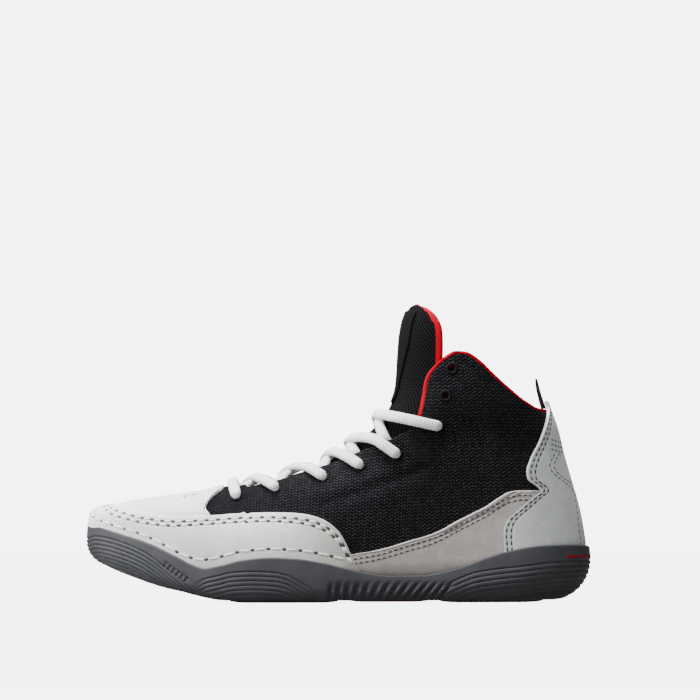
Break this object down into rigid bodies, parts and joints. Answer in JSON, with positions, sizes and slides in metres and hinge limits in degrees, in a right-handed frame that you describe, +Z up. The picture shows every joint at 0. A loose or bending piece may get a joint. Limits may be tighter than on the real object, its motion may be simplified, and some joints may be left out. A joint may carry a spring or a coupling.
{
  "type": "wrestling shoe",
  "caption": "High-top wrestling shoe for the left foot: mesh bootie with suede toe, sides and heel, laced throat, tall tongue and a grooved rubber cup sole.",
  "frame": {"origin": "on the floor under the middle of the shoe's box", "axes": "+Z up, toe towards -X, heel towards +X, lateral side towards -Y, medial side towards +Y"},
  "size_m": [0.29, 0.1046, 0.1722],
  "materials": {
    "black_mesh": "knitted, matt",
    "grey_rubber": "matt",
    "tread_rubber": "matt",
    "red_rubber": "matt",
    "footbed": "matt",
    "light_suede": "napped suede",
    "warm_grey_suede": "napped suede",
    "cool_grey_suede": "napped suede",
    "black_label": "smooth",
    "black_webbing": "woven",
    "black_ring": "matt",
    "white_cord": "braided"
  },
  "bodies": {
    "root": {"upper": "black_mesh", "outsole": "grey_rubber", "forefoot_tread": "tread_rubber", "heel_tread": "tread_rubber", "arch_insert": "red_rubber", "insole": "footbed", "toe_guard": "light_suede", "vamp": "light_suede", "side_panel_lateral": "warm_grey_suede", "side_panel_medial": "warm_grey_suede", "heel_counter": "cool_grey_suede", "tongue": "black_mesh", "tongue_label": "black_label", "pull_tab": "black_webbing", "eyelet_lateral_1": "black_ring", "eyelet_lateral_2": "black_ring", "eyelet_lateral_3": "black_ring", "eyelet_lateral_4": "black_ring", "eyelet_lateral_5": "black_ring", "eyelet_lateral_6": "black_ring", "eyelet_lateral_7": "black_ring", "eyelet_lateral_8": "black_ring", "eyelet_medial_1": "black_ring", "eyelet_medial_2": "black_ring", "eyelet_medial_3": "black_ring", "eyelet_medial_4": "black_ring", "eyelet_medial_5": "black_ring", "eyelet_medial_6": "black_ring", "eyelet_medial_7": "black_ring", "eyelet_medial_8": "black_ring", "lace_bar": "white_cord", "lace_crossing_1": "white_cord", "lace_crossing_2": "white_cord", "lace_crossing_3": "white_cord", "lace_crossing_4": "white_cord", "lace_crossing_5": "white_cord"}
  },
  "joints": []
}
